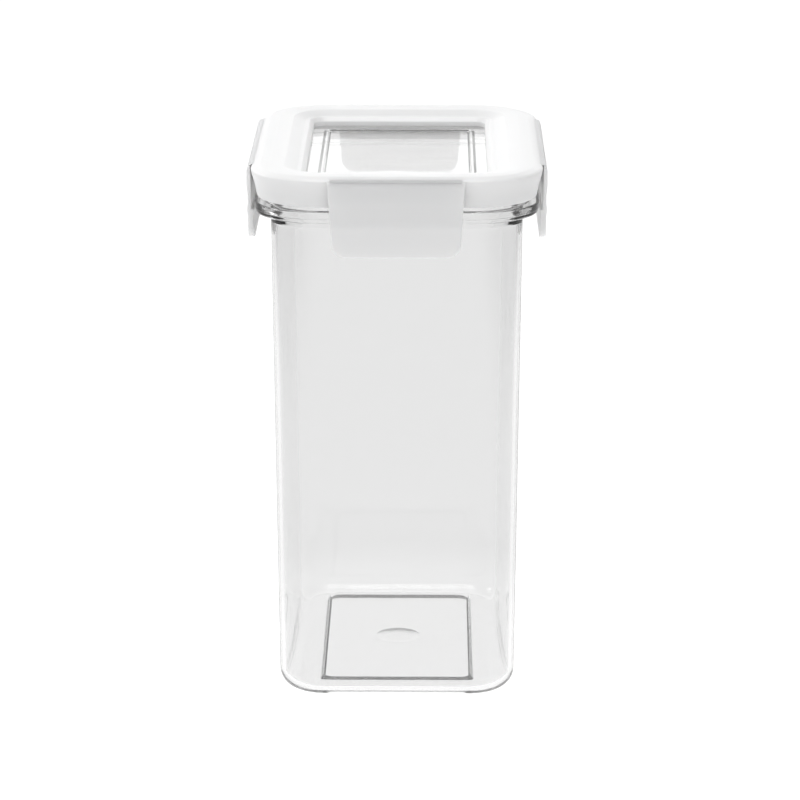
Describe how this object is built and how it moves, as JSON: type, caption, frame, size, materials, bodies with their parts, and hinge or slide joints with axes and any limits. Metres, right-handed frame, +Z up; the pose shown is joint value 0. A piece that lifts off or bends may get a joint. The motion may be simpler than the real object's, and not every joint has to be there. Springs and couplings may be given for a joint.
{
  "type": "latched food canister",
  "caption": "Tall clear food canister with a flanged mouth and a white windowed lid that seals on a gasket and locks with hinged latches.",
  "frame": {"origin": "centre of the foot, on the surface that the canister stands on", "axes": "+Z up through the lid, X across the narrow side, -Y is the front"},
  "size_m": [0.11, 0.15, 0.2],
  "materials": {
    "clear_plastic": "clear, polished",
    "window_plastic": "clear, polished",
    "white_plastic": "satin moulded polypropylene",
    "silicone": "translucent white silicone"
  },
  "bodies": {
    "canister": {"canister": "clear_plastic"},
    "lid": {"lid_frame": "white_plastic", "lid_window": "window_plastic", "lid_gasket": "silicone"},
    "latch_front": {"latch_front": "white_plastic"},
    "latch_right": {"latch_right": "white_plastic"},
    "latch_back": {"latch_back": "white_plastic"},
    "latch_left": {"latch_left": "white_plastic"}
  },
  "joints": [
    {"name": "lid_lift", "type": "slide", "parent": "canister", "child": "lid", "axis": [0, 0, 1], "range_m": [0, 0.06]},
    {"name": "latch_front_hinge", "type": "hinge", "parent": "lid", "child": "latch_front", "pos_m": [0, -0.074, 0.1982], "axis": [-1, 0, 0], "range_deg": [0, 135]},
    {"name": "latch_right_hinge", "type": "hinge", "parent": "lid", "child": "latch_right", "pos_m": [0.054, 0, 0.1982], "axis": [0, -1, 0], "range_deg": [0, 135]},
    {"name": "latch_back_hinge", "type": "hinge", "parent": "lid", "child": "latch_back", "pos_m": [0, 0.074, 0.1982], "axis": [1, 0, 0], "range_deg": [0, 135]},
    {"name": "latch_left_hinge", "type": "hinge", "parent": "lid", "child": "latch_left", "pos_m": [-0.054, 0, 0.1982], "axis": [0, 1, 0], "range_deg": [0, 135]}
  ]
}
